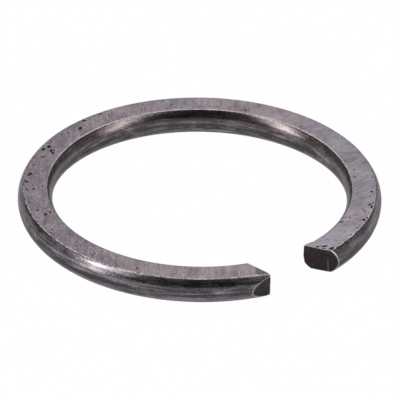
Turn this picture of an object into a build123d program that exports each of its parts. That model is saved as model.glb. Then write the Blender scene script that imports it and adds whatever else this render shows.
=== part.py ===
from build123d import *
from math import asin, cos, degrees, radians, sin, sqrt
import os

# Spacer ring for a bearing: one open ring of round drawn steel wire, ground flat on top and underneath,
# its two ends sheared off at a slant.
# Millimetres and degrees. +Z is up, the origin is on the ring's axis in the plane of its bottom face,
# and the gap between the ends is centred on -Y.

# ring
outside_diameter = 42.0      # over the widest line of the flanks
ring_width = 4.0             # from the bore's narrowest line to the outside, along a radius
flank_radius = 2.13          # roundness of the wire's flanks, seen in section
top_flat_width = 2.75        # ground face on top
bottom_flat_width = 2.1      # ground face underneath, cut less deep
edge_break = 0.08            # small rounding where a ground face meets a flank

# gap
end_gap = 8.15               # straight across, between the middles of the two end faces

# Each end is sheared by one slanting cut, and its outer corner is taken off by a second one.
# skew: how far the cut turns away from a radius, the same way round at both ends
# lean: how far the cut leans away from the gap, going down from the top face
# corner_start: from the middle of the end face outwards to where the corner cut begins
# corner_turn: from the end face round to the corner cut
left_end = {"side": -1, "skew": 28.9, "lean": -11.0,
            "corner_start": 1.92, "corner_turn": 103.1, "corner_lean": 12.0}
right_end = {"side": 1, "skew": 23.9, "lean": 10.0,
             "corner_start": 1.15, "corner_turn": 12.5, "corner_lean": 10.0}

# values that follow
mean_radius = (outside_diameter - ring_width) / 2
flank_centre = flank_radius - ring_width / 2     # the flank's centre lies this far past the mean radius
gap_half_angle = degrees(asin(end_gap / 2 / mean_radius))


def flat_height(flat_width):
    """Height from the widest line to a ground face of this width."""
    return sqrt(flank_radius**2 - (flat_width / 2 + flank_centre) ** 2)


widest_height = flat_height(bottom_flat_width)
top_height = widest_height + flat_height(top_flat_width)


def ring_section():
    """The wire's section on the +X side: two flats joined by two round flanks."""
    top_inner = (mean_radius - top_flat_width / 2, top_height)
    top_outer = (mean_radius + top_flat_width / 2, top_height)
    bottom_inner = (mean_radius - bottom_flat_width / 2, 0)
    bottom_outer = (mean_radius + bottom_flat_width / 2, 0)
    widest_inner = (mean_radius - ring_width / 2, widest_height)
    widest_outer = (mean_radius + ring_width / 2, widest_height)
    outline = [
        Line(top_inner, top_outer),
        ThreePointArc(top_outer, widest_outer, bottom_outer),
        Line(bottom_outer, bottom_inner),
        ThreePointArc(bottom_inner, widest_inner, top_inner),
    ]
    face = make_face(outline)
    return fillet(face.vertices(), edge_break)


def cut_block(point, direction, side, lean, size):
    """A block with one face on the cut, which takes away what lies on the gap's side of it.

    point is on the cut at the height of the top face, and direction is the cut's plan angle, outwards.
    """
    facing = radians(direction - 90 * side)
    along = (cos(radians(direction)), sin(radians(direction)), 0)
    tilt = radians(lean)
    outward = (cos(facing) * cos(tilt), sin(facing) * cos(tilt), -sin(tilt))
    plane = Plane(origin=(point[0], point[1], top_height), x_dir=along, z_dir=outward)
    block = Box(size, size, size, align=(Align.CENTER, Align.CENTER, Align.MIN))
    return plane * block


def end_cuts(end):
    """The slanting cut and the corner cut of one end."""
    middle_angle = -90 + end["side"] * gap_half_angle
    middle = (mean_radius * cos(radians(middle_angle)), mean_radius * sin(radians(middle_angle)))
    direction = middle_angle + end["skew"]
    corner = (
        middle[0] + end["corner_start"] * cos(radians(direction)),
        middle[1] + end["corner_start"] * sin(radians(direction)),
    )
    corner_direction = direction + end["side"] * end["corner_turn"]
    main = cut_block(middle, direction, end["side"], end["lean"], 4 * ring_width)
    nick = cut_block(corner, corner_direction, end["side"], end["corner_lean"], 2 * ring_width)
    return main, nick


left_main, left_corner = end_cuts(left_end)
right_main, right_corner = end_cuts(right_end)

closed_ring = revolve(Plane.XZ * ring_section(), axis=Axis.Z)
spacer_ring = closed_ring - (left_main & right_main) - left_corner - right_corner

os.makedirs("parts", exist_ok=True)
export_step(spacer_ring, "parts/spacer_ring.step")
print(f"height {top_height:.3f}, widest line at {widest_height:.3f}, mean radius {mean_radius:.3f}")
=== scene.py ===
from math import cos, pi, radians, sin
import bpy
from mathutils import Matrix, Vector


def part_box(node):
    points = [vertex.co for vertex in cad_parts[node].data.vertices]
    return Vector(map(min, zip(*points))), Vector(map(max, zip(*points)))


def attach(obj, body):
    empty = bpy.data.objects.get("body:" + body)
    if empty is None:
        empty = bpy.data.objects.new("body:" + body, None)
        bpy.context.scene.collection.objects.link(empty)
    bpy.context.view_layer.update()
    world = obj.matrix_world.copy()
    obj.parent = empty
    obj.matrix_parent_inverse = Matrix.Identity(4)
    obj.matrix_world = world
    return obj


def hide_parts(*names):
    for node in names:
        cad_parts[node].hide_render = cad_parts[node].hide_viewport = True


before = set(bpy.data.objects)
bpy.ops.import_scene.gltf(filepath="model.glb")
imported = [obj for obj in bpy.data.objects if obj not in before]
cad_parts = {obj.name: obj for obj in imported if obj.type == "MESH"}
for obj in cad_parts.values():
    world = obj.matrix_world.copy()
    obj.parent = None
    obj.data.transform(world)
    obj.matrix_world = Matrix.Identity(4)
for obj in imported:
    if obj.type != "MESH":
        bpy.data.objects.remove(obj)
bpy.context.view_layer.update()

ringLow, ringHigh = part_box("spacer_ring")
mm = 0.001
ringExtent = [round((high - low) / mm, 2) for low, high in zip(ringLow, ringHigh)]
print("frame loaded, ring in mm", ringExtent)


class Wire:                                             # one socket, usable in sums
    def __init__(self, tree, socket):
        self.tree = tree
        self.socket = socket

    def math(self, operation, *others):
        return addNode(self.tree, "ShaderNodeMath", {"operation": operation}, [self, *others])

    def flipped(self, operation, other):
        return addNode(self.tree, "ShaderNodeMath", {"operation": operation}, [other, self])

    def __add__(self, other):
        return self.math("ADD", other)

    def __sub__(self, other):
        return self.math("SUBTRACT", other)

    def __mul__(self, other):
        return self.math("MULTIPLY", other)

    def __truediv__(self, other):
        return self.math("DIVIDE", other)

    def __pow__(self, other):
        return self.math("POWER", other)

    def __rsub__(self, other):
        return self.flipped("SUBTRACT", other)

    def __rtruediv__(self, other):
        return self.flipped("DIVIDE", other)

    def __neg__(self):
        return self * -1.0

    __radd__ = __add__
    __rmul__ = __mul__

    def clamp(self):
        return self.math("MAXIMUM", 0.0).math("MINIMUM", 1.0)

    def smooth(self, low, high):                        # 0 below low, 1 above high, eased between
        settings = {"interpolation_type": "SMOOTHSTEP"}
        return addNode(self.tree, "ShaderNodeMapRange", settings, {"Value": self, 1: low, 2: high})


def addNode(tree, kind, settings=None, sockets=None, out=0):
    node = tree.nodes.new(kind)
    for key, value in (settings or {}).items():
        setattr(node, key, value)
    pairs = sockets.items() if isinstance(sockets, dict) else enumerate(sockets or [])
    for key, value in pairs:
        if isinstance(value, Wire):
            tree.links.new(value.socket, node.inputs[key])
        else:
            node.inputs[key].default_value = value
    return Wire(tree, node.outputs[out]) if len(node.outputs) else node


def output(wire, name):                                 # another output of the wire's own node
    return Wire(wire.tree, wire.socket.node.outputs[name])


def combine(tree, x, y, z):
    return addNode(tree, "ShaderNodeCombineXYZ", None, [x, y, z])


# the ring: wire rolled round, ground flat on both faces and sheared off at both ends

ringSizes = {                                           # metres and degrees
    "meanRadius": ringHigh.x - 2.0 * mm,
    "wireWidth": 4.0 * mm,
    "flankRadius": 2.13 * mm,
    "topFlat": 2.75 * mm,
    "bottomFlat": 2.1 * mm,
    "edgeEase": 0.12 * mm,                              # how wide the ground edges round over
    "endEase": 0.06 * mm,                               # rounding along the sheared ends
    "rolledEase": 0.10 * mm,                            # the same on the outside of the right end
    "nip": 0.18 * mm,                                   # how far the right end's bore side is squeezed
    "gap": 8.15 * mm,
    "leftSkew": 28.9,
    "leftLean": -11.0,
    "leftCorner": 1.92 * mm,
    "leftTurn": 103.1,
    "leftCornerLean": 12.0,
    "rightSkew": 23.9,
    "rightLean": 10.0,
    "rightCorner": 1.15 * mm,
    "rightTurn": 12.5,
    "rightCornerLean": 10.0,
}
ringBuild = {
    "columns": 940, "around": 104, "capRows": 20, "edgeRows": 5,
    "crowding": 0.35,                                   # how much closer the columns stand near the ends
    "weld": 0.001 * mm,
    "nipReach": 1.8 * mm,                               # how far back from the right end it is squeezed
    "jawClear": 0.125,                                  # how far off the shear's jaw starts, in wire widths
    "jawLean": 0.166,                                   # how much of the jaw's push goes down from above
    "nipSpread": 0.04, "nipSwell": 0.06,                # how far the squeezed side bulges, and its top more
    "nipCrisp": 0.8,                                    # how much sharper its edges are
    "cornerBlend": 0.004,                               # how softly the two cuts of an end meet
    "creaseRight": 4.0,                                 # its two cuts differ less than the left end's
    "tipWay": -33.2,                                    # degrees, the way the left end's tip slopes down
    "tipStart": 6.28 * mm, "tipFall": 0.055,            # how far that way it starts, and how steep it is
    "tipShare": 0.9,                                    # the part of the wire before it stays level
    "tipFull": 0.3 * mm,                                # how far past its start it is fully darkened
    "burrGlintLeft": 0.35,                                   # how bright the burr and its painted highlight are, then what the right adds
    "burrGlintRight": -0.05, "burrGlintRightTop": 0.65,
    "burrGlintDepths": (0.2 * mm, 1.8 * mm),                 # below the top face, where the right one fades out
    "dentFull": 0.12 * mm,
    "dentDepths": (0.15 * mm, 0.7 * mm),                # below the top face, where chips fade out
}
# chips and pits: angle round from +X, outwards from the mean radius, length, width, turn and depth, in mm
nicks = [
    (104.1, 0.10, 0.76, 0.40, -35, 0.12), (120.6, 0.60, 0.85, 0.60, -20, 0.06),
    (123.0, 0.92, 0.68, 0.48, 0, 0.10), (122.6, 0.00, 0.72, 0.30, -25, 0.11),
    (123.8, -0.40, 0.62, 0.30, -35, 0.10), (127.8, 0.33, 0.50, 0.34, 0, 0.06),
    (133.8, 0.75, 0.60, 0.30, 10, 0.05), (139.6, 0.78, 0.54, 0.40, 10, 0.13),
    (140.6, 0.98, 0.38, 0.24, 10, 0.10), (144.0, 1.34, 0.55, 0.34, 0, 0.13),
    (144.7, 1.00, 0.46, 0.40, -20, 0.13), (149.5, 0.98, 0.40, 0.36, 0, 0.06),
    (149.7, 0.12, 0.52, 0.26, 5, 0.09), (147.0, 0.30, 0.40, 0.20, 5, 0.05),
    (148.5, -0.40, 1.10, 0.12, 0, 0.05), (157.8, -0.70, 0.30, 0.25, 0, 0.05),
    (163.5, 0.50, 0.40, 0.30, 0, 0.05), (166.3, -0.80, 0.60, 0.32, -10, 0.06),
    (167.0, -0.20, 0.58, 0.36, 10, 0.09), (178.8, 1.00, 0.30, 0.22, -30, 0.06),
    (180.0, 0.83, 0.28, 0.22, -30, 0.06), (183.3, -0.55, 0.30, 0.30, 0, 0.05),
    (208.4, 0.84, 0.34, 0.18, 0, 0.06), (215.7, 0.46, 0.22, 0.95, 5, 0.05),
    (245.0, -0.40, 0.34, 0.18, 20, 0.06), (99.6, 1.06, 0.56, 0.38, 0, 0.12),
    (92.6, 1.05, 0.62, 0.22, 5, 0.11), (90.6, 0.26, 0.32, 0.22, 0, 0.06),
    (40.2, -0.63, 0.24, 0.60, 0, 0.06), (16.8, -0.82, 0.24, 0.42, 10, 0.06),
    (-9.5, 1.00, 0.40, 0.20, 30, 0.05), (-24.8, -0.87, 0.40, 0.24, 10, 0.07),
    (-25.9, 1.10, 0.30, 0.30, 0, 0.05), (-34.8, 0.87, 0.50, 0.28, 0, 0.11),
    (-38.7, 1.30, 0.30, 0.20, 0, 0.06), (-43.2, 0.90, 0.52, 0.30, 0, 0.12),
    (-44.6, 1.26, 0.60, 0.44, 0, 0.14), (-46.8, 0.35, 0.40, 0.24, 20, 0.05),
    (-51.4, 1.30, 0.58, 0.28, 5, 0.10), (-53.2, 1.10, 0.75, 0.55, 10, 0.05),
    (-54.4, 0.60, 0.30, 0.20, 0, 0.05), (-57.5, -1.09, 0.70, 0.26, 25, 0.09),
    (-59.0, 1.00, 0.40, 0.20, 10, 0.05), (-63.6, 1.14, 0.60, 0.20, 0, 0.05),
    (-70.4, 1.18, 0.30, 0.24, 20, 0.09), (-74.4, 1.14, 0.84, 0.52, 12, 0.14),
    (-75.1, 0.22, 0.84, 0.34, 25, 0.12), (-77.0, -0.28, 0.48, 0.36, 20, 0.12),
    (-76.3, 0.52, 0.60, 0.20, 25, 0.09), (-75.4, -0.30, 0.40, 0.14, 25, 0.05),
]


def wireSection(size, build, turn, nipped):
    # how far the flank and the two ground faces lie from the wire's middle, and how high those faces are
    sine, cosine = turn.math("SINE"), turn.math("COSINE")
    above = sine.math("MAXIMUM", 0.0)
    past = size["flankRadius"] - size["wireWidth"] * 0.5
    flank = (size["flankRadius"] * size["flankRadius"] - (past * sine) ** 2.0).math("SQRT")
    flank = flank - past * cosine.math("ABSOLUTE")
    jaw = size["wireWidth"] * (0.5 + build["jawClear"] - nipped * build["jawClear"]) - size["nip"] * nipped
    jaw = jaw / (cosine.math("ABSOLUTE") + above * build["jawLean"]).math("MAXIMUM", 0.05)
    flank = flank * (nipped * (above * build["nipSwell"] + build["nipSpread"]) + 1.0)
    flank = flank.math("SMOOTH_MIN", jaw, size["edgeEase"])
    rises = []
    for face in ("topFlat", "bottomFlat"):
        halfFlat = size[face] * 0.5 + past
        rises.append((size["flankRadius"] * size["flankRadius"] - halfFlat * halfFlat).math("SQRT"))
    toTop = rises[0] / sine.math("MAXIMUM", 0.01)
    toBottom = rises[1] / (-sine).math("MAXIMUM", 0.01)
    return flank, toTop, toBottom, rises[0], rises[1]


def cutAngle(size, build, side, radius, drop, name):
    # the angle at which the slanting cut and the corner cut of one end meet this radius and depth
    halfGap = (size["gap"] / size["meanRadius"] * 0.5).math("ARCSINE")
    middleAngle = halfGap * side - pi / 2
    direction = middleAngle + size[name + "Skew"].math("RADIANS")
    turned = direction + side * size[name + "Turn"].math("RADIANS")
    found = []
    for way, start, lean in (
        (direction, 0.0, size[name + "Lean"]),
        (turned, size[name + "Corner"], size[name + "CornerLean"]),
    ):
        facing = way - side * pi / 2
        reach = size["meanRadius"] * (middleAngle - facing).math("COSINE")
        reach = reach + start * (direction - facing).math("COSINE")
        level = reach - drop * lean.math("RADIANS").math("TANGENT")
        opening = (level / radius).math("MINIMUM", 1.0).math("ARCCOSINE")
        found.append(facing + side * opening)
    joint = "SMOOTH_MAX" if side > 0 else "SMOOTH_MIN"
    return found[0].math(joint, found[1], build["cornerBlend"]), (found[0] - found[1]) * radius


def nickDepth(size, angle, radius):
    deepest = None
    for nickAngle, outwards, length, width, turned, depth in nicks:
        aside = (angle - radians(nickAngle)) * radius
        out = radius - size["meanRadius"] - outwards * mm
        c, s = cos(radians(turned)), sin(radians(turned))
        lengthwise = (aside * c + out * s) / (length * mm * 0.5)
        across = (out * c - aside * s) / (width * mm * 0.5)
        bowl = (1.0 - lengthwise * lengthwise - across * across).math("MAXIMUM", 0.0) * (depth * mm)
        deepest = bowl if deepest is None else deepest.math("MAXIMUM", bowl)
    return deepest


def buildRingTree(sizes, build, materials):
    tree = bpy.data.node_groups.new("rollAndShearRing", "GeometryNodeTree")
    tree.interface.new_socket("Geometry", in_out="OUTPUT", socket_type="NodeSocketGeometry")
    for name, value in sizes.items():
        tree.interface.new_socket(name, in_out="INPUT", socket_type="NodeSocketFloat").default_value = value
    entry = addNode(tree, "NodeGroupInput")
    size = {name: output(entry, name) for name in sizes}

    # a flat sheet, its columns spread along the wire and its rows round it
    lastColumn = build["columns"] - 1
    sheet = addNode(tree, "GeometryNodeMeshGrid", None, [1.0, 1.0, build["columns"], build["around"] + 1])
    flat = addNode(tree, "ShaderNodeSeparateXYZ", None, [addNode(tree, "GeometryNodeInputPosition")])
    column = (flat + 0.5) * lastColumn
    turn = (output(flat, "Y") - 0.25) * (2 * pi)        # the seam runs underneath
    fromEnd = column.math("MINIMUM", lastColumn - column)
    cap = (fromEnd / build["capRows"]).clamp()
    rounding = ((fromEnd - build["capRows"]) / build["edgeRows"]).clamp() * (pi / 2)
    endRows = build["capRows"] + build["edgeRows"]
    share = ((column - endRows) / (lastColumn - 2 * endRows)).clamp()
    share = share - (share * (2 * pi)).math("SINE") * (build["crowding"] / (2 * pi))

    outer = turn.math("COSINE").smooth(0.0, 0.3)        # 1 on the outside, 0 towards the bore
    rightward = 1.0 - share.math("GREATER_THAN", 0.5)   # 1 on the half that ends at the right
    ringLength = size["meanRadius"] * (2 * pi)
    nearRight = 1.0 - (share * ringLength).smooth(0.0, build["nipReach"])
    nipped = nearRight * (1.0 - outer)

    flank, toTop, toBottom, topRise, bottomRise = wireSection(size, build, turn, nipped)
    edgeEase = size["edgeEase"] * (1.0 - nipped * build["nipCrisp"])
    outline = flank.math("SMOOTH_MIN", toTop, edgeEase)
    outline = outline.math("SMOOTH_MIN", toBottom, edgeEase)
    endEase = size["endEase"] + (size["rolledEase"] - size["endEase"]) * rightward * outer
    outline = (outline - endEase * (1.0 - rounding.math("SINE"))) * cap
    inset = endEase * (1.0 - rounding.math("COSINE"))
    radius = size["meanRadius"] + outline * turn.math("COSINE")
    height = bottomRise + outline * turn.math("SINE")
    drop = bottomRise + topRise - height                # how far below the top face

    rightEdge, rightCrease = cutAngle(size, build, 1, radius, drop, "right")
    leftEdge, leftCrease = cutAngle(size, build, -1, radius, drop, "left")
    rightEdge = rightEdge + inset / radius
    leftEdge = leftEdge + (2 * pi) - inset / radius
    angle = rightEdge + (leftEdge - rightEdge) * share
    spotX, spotY = radius * angle.math("COSINE"), radius * angle.math("SINE")

    onTop = 1.0 - drop.smooth(*build["dentDepths"])
    dent = nickDepth(size, angle, radius) * onTop
    # the tip of the left end slopes away on top
    way = radians(build["tipWay"])
    tip = (spotX * cos(way) + spotY * sin(way) - build["tipStart"]).math("MAXIMUM", 0.0)
    tip = tip * share.math("GREATER_THAN", build["tipShare"])
    cut = tip * build["tipFall"] - drop
    height = height - cut.math("MAXIMUM", 0.0) - dent
    topEdge = (flank - toTop).math("MAXIMUM", cut)

    # a burr with a painted highlight along both ends' outer edges, brighter near the top on the right
    high = 1.0 - drop.smooth(*build["burrGlintDepths"])
    burrAndGlint = rightward * (high * build["burrGlintRightTop"] + build["burrGlintRight"]) + build["burrGlintLeft"]
    crease = rightCrease * rightward * build["creaseRight"] + leftCrease * (1.0 - rightward)
    marks = {
        "dent": dent / build["dentFull"],
        "rim": topEdge / mm,                            # 0 where the top face meets a flank
        "burrAndGlint": (rounding * 2.0).math("SINE") * outer * burrAndGlint,
        "crease": crease / mm,                          # 0 where the two cuts of an end meet
        "tip": tip * onTop / build["tipFull"],
        "endFace": 1.0 - cap,
        "topFace": topEdge,
        "underFace": flank - toBottom,
    }
    for name, value in marks.items():                   # stored while the sheet is still flat
        settings = {"data_type": "FLOAT", "domain": "POINT"}
        sheet = addNode(tree, "GeometryNodeStoreNamedAttribute", settings,
                        {"Geometry": sheet, "Name": name, "Value": value})
    moved = addNode(tree, "GeometryNodeSetPosition", None,
                    {"Geometry": sheet, "Position": combine(tree, spotX, spotY, height)})
    joined = addNode(tree, "GeometryNodeMergeByDistance", None,
                     {"Geometry": moved, "Distance": build["weld"]})
    smooth = addNode(tree, "GeometryNodeSetShadeSmooth", None, {"Geometry": joined})
    painted = addNode(tree, "GeometryNodeRealizeInstances", None, [smooth])

    read = {}
    for name in ("endFace", "topFace", "underFace"):
        read[name] = addNode(tree, "GeometryNodeInputNamedAttribute", {"data_type": "FLOAT"},
                             {"Name": name})
    ground = read["topFace"].math("MAXIMUM", read["underFace"]).math("GREATER_THAN", 0.0)
    ended = read["endFace"].math("GREATER_THAN", 0.001)
    for name, chosen in (("flank", True), ("ground", ground), ("sheared", ended)):
        painted = addNode(tree, "GeometryNodeSetMaterial", None,
                          {"Geometry": painted, "Selection": chosen, "Material": materials[name]})
    addNode(tree, "NodeGroupOutput", None, [painted])
    return tree


def makeRing(sizes, build, materials):
    tree = buildRingTree(sizes, build, materials)
    ring = bpy.data.objects.new("spacerRing", bpy.data.meshes.new("wireBlank"))
    bpy.context.scene.collection.objects.link(ring)
    roll = ring.modifiers.new("roll", "NODES")
    roll.node_group = tree
    for item in tree.interface.items_tree:
        if item.in_out == "INPUT":
            roll[item.identifier] = sizes[item.name]
    graph = bpy.context.evaluated_depsgraph_get()
    rolled = bpy.data.meshes.new_from_object(ring.evaluated_get(graph), preserve_all_data_layers=True,
                                             depsgraph=graph)
    ring.modifiers.remove(roll)
    rolled.name = "spacerRing"
    ring.data = rolled
    print("ring rolled", len(rolled.vertices), "points", len(rolled.polygons), "faces")
    return ring


# finishes: ground on the two flat faces, drawn on the flanks, sheared on the ends

wireMiddle = 19.0                                       # mm, radius of the wire's middle line


def newMaterial(name):
    material = bpy.data.materials.new(name)
    material.use_nodes = True
    material.node_tree.nodes.clear()
    return material, material.node_tree


def finishMaterial(material, shader):
    addNode(material.node_tree, "ShaderNodeOutputMaterial", None, {"Surface": shader})
    print("finish made", material.name)
    return material


def ringPlace(tree):                                    # place on the ring, in millimetres
    spot = output(addNode(tree, "ShaderNodeTexCoord"), "Object")
    spot = addNode(tree, "ShaderNodeVectorMath", {"operation": "SCALE"}, {0: spot, "Scale": 1 / mm})
    x = addNode(tree, "ShaderNodeSeparateXYZ", None, [spot])
    y = output(x, "Y")
    return {
        "spot": spot, "x": x, "y": y, "z": output(x, "Z"),
        "out": (x * x + y * y).math("SQRT"),
        "along": x.math("ARCTAN2", y) * wireMiddle,     # breaks at -Y, in the gap
    }


def noise(tree, vector, scale, detail=2.0, roughness=0.5):
    return addNode(tree, "ShaderNodeTexNoise", {"noise_dimensions": "3D"},
                   {"Vector": vector, "Scale": scale, "Detail": detail, "Roughness": roughness})


def mixColour(tree, factor, first, second):
    return addNode(tree, "ShaderNodeMix", {"data_type": "RGBA"}, {0: factor, 6: first, 7: second}, 2)


def attribute(tree, name):
    return addNode(tree, "ShaderNodeAttribute", {"attribute_name": name}, None, 2)


def line(tree, name, halfWidth):                        # 1 where the attribute is 0, fading out either side
    return 1.0 - attribute(tree, name).math("ABSOLUTE").smooth(halfWidth * 0.3, halfWidth)


def boreSide(place):                                    # 1 on the bore's side of the wire, 0 on the outside
    return 1.0 - place["out"].smooth(wireMiddle - 0.5, wireMiddle + 0.5)


def wornPatches(tree, place):                           # short dashes where a ground edge is rubbed bright
    return noise(tree, place["spot"], 2.4, 2.0, 0.6).smooth(0.42, 0.58)


groundFinish = {
    "pale": (0.41, 0.355, 0.395, 1.0), "slate": (0.37, 0.355, 0.41, 1.0),
    "dark": (0.19, 0.165, 0.185, 1.0), "pit": (0.022, 0.018, 0.018, 1.0),
    "paleEdge": (0.62, 0.57, 0.59, 1.0), "stain": (0.14, 0.09, 0.095, 1.0),
    "roughness": 0.48, "evenness": 0.59,
    "strokeWays": (56.8, 3.8),                          # degrees, over most of the ring, then its far side
    "strokeSwing": (4.0, 17.0),                         # mm across the ring, where one becomes the other
    "strokes": 2.6, "broad": 1.3, "blotch": 1.5,        # how strongly each shows
    "dullSideWay": (0.837, -0.547),                          # the way across the ring, from its duller side
    "dulling": 0.40, "dullSpecks": 1.8, "dullSpread": (-2.0, 17.0),
    "brightening": 0.38,                                # the right end is brighter
    "brightSpot": (4.5, -18.5), "brightSpread": (2.0, 8.0),
    "pitsEach": 2.2, "pitCrowd": 0.02,                  # pits along each mm, and how many of them show
    "pitPatches": 1.2, "dullSidePits": 0.16, "pitted": 0.92,
    "stained": 0.45, "edgeRubAndShine": 0.5, "tipDarkened": 0.6,
}


def groundSteel(finish):
    material, tree = newMaterial("groundSteel")
    place = ringPlace(tree)
    spot, x, y = place["spot"], place["x"], place["y"]
    # the top face is duller towards one side and paler near the right end
    side = x * finish["dullSideWay"][0] + y * finish["dullSideWay"][1]
    dull = (-side).smooth(*finish["dullSpread"])
    swing = side.smooth(*finish["strokeSwing"])
    strokes, broad = None, None
    for direction in finish["strokeWays"]:
        c, s = cos(radians(direction)), sin(radians(direction))
        across, lengthwise = y * c - x * s, x * c + y * s
        fine = noise(tree, combine(tree, across * 7.5, lengthwise * 0.6, 0.0), 1.0, 3.0, 0.7)
        wide = noise(tree, combine(tree, across * 1.5, lengthwise * 0.25, 7.0), 1.0, 2.0)
        strokes = fine if strokes is None else strokes + (fine - strokes) * swing
        broad = wide if broad is None else broad + (wide - broad) * swing
    blotch = noise(tree, spot, 0.45, 3.0, 0.55)
    speck = noise(tree, spot, 4.5, 2.0, 0.6)
    tone = (strokes - 0.5) * finish["strokes"] + (broad - 0.5) * finish["broad"]
    tone = tone + (blotch - 0.5) * finish["blotch"] + (speck - 0.5) * (dull * finish["dullSpecks"] + 1.0)
    fromX, fromY = x - finish["brightSpot"][0], y - finish["brightSpot"][1]
    endMost = 1.0 - (fromX * fromX + fromY * fromY).math("SQRT").smooth(*finish["brightSpread"])
    tone = (tone + finish["evenness"] - dull * finish["dulling"] + endMost * finish["brightening"]).clamp()

    # small pits, crowded in patches
    cell = addNode(tree, "ShaderNodeTexVoronoi", {"feature": "F1"},
                   {"Vector": spot, "Scale": finish["pitsEach"]})
    pick = addNode(tree, "ShaderNodeSeparateColor", None, [output(cell, "Color")])
    crowd = (noise(tree, spot, 0.22, 2.0) - 0.5) * finish["pitPatches"]
    crowd = crowd + dull * finish["dullSidePits"] + finish["pitCrowd"]
    small = (1.0 - cell.smooth(0.14, 0.36)) * (crowd - pick).smooth(0.0, 0.06)
    dent = attribute(tree, "dent") * (speck * 2.2 - 0.1)
    pit = small.math("MAXIMUM", dent.smooth(0.05, 0.32))
    stain = noise(tree, spot, 1.6, 3.0, 0.6).smooth(0.58, 0.70) * finish["stained"]
    hue = noise(tree, spot, 0.16, 2.0).smooth(0.42, 0.60)
    # pale rubbed dashes along the top face's edges, and a painted highlight all along its bore-side edge
    rubAndShine = line(tree, "rim", 0.06) * wornPatches(tree, place).math("MAXIMUM", boreSide(place))

    colour = mixColour(tree, tone, finish["dark"], mixColour(tree, hue, finish["pale"], finish["slate"]))
    colour = mixColour(tree, stain, colour, finish["stain"])
    colour = mixColour(tree, pit * finish["pitted"], colour, finish["pit"])
    colour = mixColour(tree, rubAndShine * finish["edgeRubAndShine"], colour, finish["paleEdge"])
    tip = attribute(tree, "tip").clamp()
    colour = mixColour(tree, tip * finish["tipDarkened"], colour, finish["pit"])
    relief = strokes * 0.014 + speck * 0.006 - small * 0.06
    bump = addNode(tree, "ShaderNodeBump", None, {"Strength": 0.8, "Distance": mm, "Height": relief})
    rough = (strokes - 0.5) * 0.3 + finish["roughness"] + pit * 0.3 - rubAndShine * 0.12
    shader = addNode(tree, "ShaderNodeBsdfPrincipled", None,
                     {"Base Color": colour, "Metallic": 0.9, "Roughness": rough, "Normal": bump})
    return finishMaterial(material, shader)


flankFinish = {
    "pale": (0.395, 0.378, 0.415, 1.0), "dark": (0.080, 0.070, 0.080, 1.0),
    "stain": (0.086, 0.058, 0.066, 1.0), "brown": (0.165, 0.132, 0.128, 1.0),
    "paleEdge": (0.80, 0.78, 0.77, 1.0), "grazing": (0.78, 0.77, 0.80, 1.0),
    "roughness": 0.28, "evenness": 0.06,
    "dieLines": 2.6, "blotch": 1.9, "scratch": 1.6, "grain": 1.2,
    "dieMark": 0.25, "markHeight": 1.4,                 # one darker line, mm up from the bottom face
    "widestHeight": 1.5, "widestShade": 0.30,                 # partly dark streaks, partly painted shade: darkest there, paler above and below
    # a painted reflection of the floor: paler towards the bottom face, less so on the bore side
    "floorReflection": 0.62, "boreDuller": 0.30,
    "browning": 0.20, "boreBrowner": 0.35,              # towards the top face
    "stained": 0.5, "edgeRubAndShine": 0.7,
}


def drawnSteel(finish):
    material, tree = newMaterial("drawnSteel")
    place = ringPlace(tree)
    spot, z, out, along = place["spot"], place["z"], place["out"], place["along"]
    bore = boreSide(place)
    lines = noise(tree, combine(tree, along * 0.12, out * 4.0, z * 4.0), 1.0, 3.0, 0.6)
    scratch = noise(tree, combine(tree, along * 0.35, out * 12.0, z * 12.0), 1.0, 2.0, 0.6)
    grain = noise(tree, spot, 6.0, 3.0, 0.6)
    blotch = noise(tree, combine(tree, along * 0.5, out * 1.1, z * 1.1), 1.0, 3.0, 0.6)
    dieMark = 1.0 - (z - finish["markHeight"]).math("ABSOLUTE").smooth(0.05, 0.32)
    # darker along the widest line, partly dark streaks, partly painted shade
    outsideShade = (z - finish["widestHeight"]).math("ABSOLUTE").smooth(0.1, 1.3)
    low, upper = 1.0 - z.smooth(0.2, 1.3), z.smooth(1.7, 2.6)
    tone = (lines - 0.5) * finish["dieLines"] + (blotch - 0.5) * finish["blotch"]
    tone = tone + (scratch - 0.5) * finish["scratch"] + (grain - 0.5) * finish["grain"]
    tone = tone - dieMark * finish["dieMark"] + finish["evenness"] + outsideShade * finish["widestShade"]
    # paler towards the bottom face: a painted reflection of the floor
    tone = (tone + low * (finish["floorReflection"] - bore * finish["boreDuller"])).clamp()
    stain = noise(tree, combine(tree, along * 1.1, out * 2.6, z * 2.6), 1.0, 3.0, 0.6).smooth(0.56, 0.68)
    # pale rubbed dashes along the flanks' top edges, a painted highlight along the bore-side edge, and the
    # ends' burr with its painted highlight
    rubAndShine = line(tree, "rim", 0.05) * wornPatches(tree, place).math("MAXIMUM", bore * 0.5)
    rubAndShine = (rubAndShine * finish["edgeRubAndShine"]).math("MAXIMUM", attribute(tree, "burrAndGlint"))

    colour = mixColour(tree, tone, finish["dark"], finish["pale"])
    browned = upper * (bore * finish["boreBrowner"] + finish["browning"])
    colour = mixColour(tree, browned, colour, finish["brown"])
    colour = mixColour(tree, stain * finish["stained"], colour, finish["stain"])
    colour = mixColour(tree, rubAndShine, colour, finish["paleEdge"])
    relief = lines * 0.018 + scratch * 0.006 + grain * 0.010
    bump = addNode(tree, "ShaderNodeBump", None, {"Strength": 0.8, "Distance": mm, "Height": relief})
    rough = (blotch - 0.5) * 0.15 + (grain - 0.5) * 0.15 + finish["roughness"]
    shader = addNode(tree, "ShaderNodeBsdfPrincipled", None,
                     {"Base Color": colour, "Metallic": 1.0, "Roughness": rough, "Normal": bump,
                      "Specular Tint": finish["grazing"]})
    return finishMaterial(material, shader)


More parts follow.
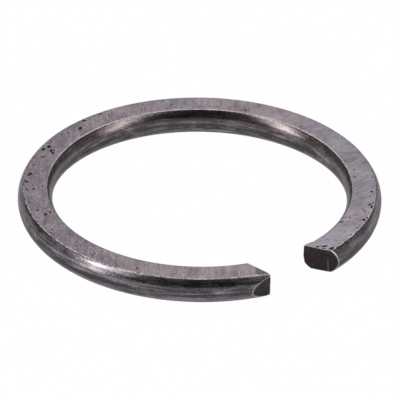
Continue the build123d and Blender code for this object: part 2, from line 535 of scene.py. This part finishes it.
shearFinish = {
    "pale": (0.050, 0.048, 0.052, 1.0), "dark": (0.010, 0.009, 0.010, 1.0),
    "rust": (0.034, 0.015, 0.009, 1.0), "paleEdge": (0.42, 0.42, 0.44, 1.0),
    "roughness": 0.45, "evenness": 0.32,
    "grain": 1.6, "tears": 1.6, "rusted": 0.6,
    "creaseWidth": 0.06, "creaseShows": 0.55,
}


def shearedSteel(finish):
    material, tree = newMaterial("shearedSteel")
    place = ringPlace(tree)
    spot, z, out, along = place["spot"], place["z"], place["out"], place["along"]
    right = place["x"].smooth(-1.0, 1.0)                # rust shows on the right end only
    grain = noise(tree, spot, 4.0, 3.0, 0.65)
    tears = noise(tree, combine(tree, along * 3.0, out * 3.0, z * 0.6), 1.0, 3.0, 0.6)
    rust = noise(tree, spot, 0.9, 2.0).smooth(0.48, 0.62) * right
    tone = (grain - 0.5) * finish["grain"] + (tears - 0.5) * finish["tears"] + finish["evenness"]
    below = 1.0 - z.smooth(1.2, 2.2) * right            # the right end's crease fades out upwards
    crease = line(tree, "crease", finish["creaseWidth"]) * below * finish["creaseShows"]

    colour = mixColour(tree, tone.clamp(), finish["dark"], finish["pale"])
    colour = mixColour(tree, rust * finish["rusted"], colour, finish["rust"])
    colour = mixColour(tree, crease, colour, finish["paleEdge"])
    relief = tears * 0.03 + grain * 0.02
    bump = addNode(tree, "ShaderNodeBump", None, {"Strength": 0.7, "Distance": mm, "Height": relief})
    shader = addNode(tree, "ShaderNodeBsdfPrincipled", None,
                     {"Base Color": colour, "Metallic": 0.7, "Roughness": finish["roughness"],
                      "Normal": bump})
    return finishMaterial(material, shader)


# camera, lamps and paper

view = {"heading": 56.81, "down": 31.06, "distance": 1.0194, "lens": 794.7, "roll": 0.705,
        "aim": (-0.00003, -0.00013, 0.00156)}


def pointing(heading, climb):
    h, c = radians(heading), radians(climb)
    return Vector((cos(h) * cos(c), sin(h) * cos(c), sin(c)))


def aimed(thing, place, target, roll=0.0):
    facing = (Vector(target) - Vector(place)).to_track_quat("-Z", "Y").to_matrix().to_4x4()
    thing.matrix_world = Matrix.Translation(place) @ facing @ Matrix.Rotation(radians(roll), 4, "Z")


def makeCamera(view):
    camera = bpy.data.objects.new("camera", bpy.data.cameras.new("camera"))
    bpy.context.scene.collection.objects.link(camera)
    camera.data.lens = view["lens"]
    camera.data.clip_start = 0.01
    aim = Vector(view["aim"])
    aimed(camera, aim - pointing(view["heading"], -view["down"]) * view["distance"], aim, view["roll"])
    bpy.context.scene.camera = camera
    print("camera set")


# turn is counted round from the camera's side of the ring, glow is how bright the lamp itself looks
lamps = {
    "leftStrip": {"turn": -66.0, "climb": 31.0, "away": 0.8, "wide": 0.22, "tall": 1.0, "glow": 6.9},
    "rightStrip": {"turn": 65.0, "climb": 31.0, "away": 0.8, "wide": 0.20, "tall": 1.0, "glow": 5.6},
    "overhead": {"turn": 180.0, "climb": 58.0, "away": 0.9, "wide": 1.1, "tall": 0.9, "glow": 1.42},
}
lampColour = (1.0, 0.965, 0.955)


def makeLamps(lamps, view):
    for name, lamp in lamps.items():
        light = bpy.data.lights.new(name, "AREA")
        light.shape = "RECTANGLE"
        light.size = lamp["wide"]
        light.size_y = lamp["tall"]
        light.energy = lamp["glow"] * pi * lamp["wide"] * lamp["tall"]
        light.color = lampColour
        thing = bpy.data.objects.new(name, light)
        bpy.context.scene.collection.objects.link(thing)
        place = pointing(view["heading"] + 180.0 + lamp["turn"], lamp["climb"]) * lamp["away"]
        aimed(thing, place, (0.0, 0.0, 0.0))
    print("lamps set", list(lamps))


room = {
    "walls": (0.018, 0.018, 0.020, 1.0), "paper": (0.86, 0.86, 0.86, 1.0),
    "floorHalf": 3.0, "backdropAway": 1.6, "backdropTall": 1.3, "backdropSteps": 24,
    "floorLift": (0.98, 0.28),                          # how far towards white, seen and in reflections
    "backdropLift": (0.98, 0.10),
}


def stagePiece(name, points, faces, material):
    mesh = bpy.data.meshes.new(name)
    mesh.from_pydata(points, [], faces)
    mesh.materials.append(material)
    piece = bpy.data.objects.new(name, mesh)
    bpy.context.scene.collection.objects.link(piece)


def paper(name, colour, seen, reflected):
    material, tree = newMaterial(name)
    path = addNode(tree, "ShaderNodeLightPath")         # its first output is Is Camera Ray
    mirrored = output(path, "Is Glossy Ray").math("MAXIMUM", output(path, "Is Transmission Ray"))
    lift = (path * seen).math("MAXIMUM", mirrored * reflected)
    matt = addNode(tree, "ShaderNodeBsdfDiffuse", None, {"Color": colour})
    white = addNode(tree, "ShaderNodeEmission", None, {"Color": (1.0, 1.0, 1.0, 1.0), "Strength": 1.0})
    return finishMaterial(material, addNode(tree, "ShaderNodeMixShader", None, [lift, matt, white]))


def makeRoom(room, view):
    world = bpy.data.worlds.new("room")
    bpy.context.scene.world = world
    world.use_nodes = True
    world.node_tree.nodes["Background"].inputs["Color"].default_value = room["walls"]
    half = room["floorHalf"]
    corners = [(-half, -half, 0), (half, -half, 0), (half, half, 0), (-half, half, 0)]
    stagePiece("floor", corners, [(0, 1, 2, 3)], paper("floorPaper", room["paper"], *room["floorLift"]))
    steps = room["backdropSteps"]                       # curved, half way round behind the ring
    points = []
    for step in range(steps + 1):
        foot = pointing(view["heading"] - 90.0 + 180.0 * step / steps, 0.0) * room["backdropAway"]
        points += [(foot.x, foot.y, 0.0), (foot.x, foot.y, room["backdropTall"])]
    faces = [(2 * step, 2 * step + 1, 2 * step + 3, 2 * step + 2) for step in range(steps)]
    stagePiece("backdrop", points, faces, paper("backdropPaper", room["paper"], *room["backdropLift"]))
    print("room set")


bpy.context.scene.view_settings.view_transform = "Standard"
makeCamera(view)
makeLamps(lamps, view)
makeRoom(room, view)
finishes = {"ground": groundSteel(groundFinish), "flank": drawnSteel(flankFinish),
            "sheared": shearedSteel(shearFinish)}
spacerRing = makeRing(ringSizes, ringBuild, finishes)
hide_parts("spacer_ring")
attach(spacerRing, "root")

print("finished")
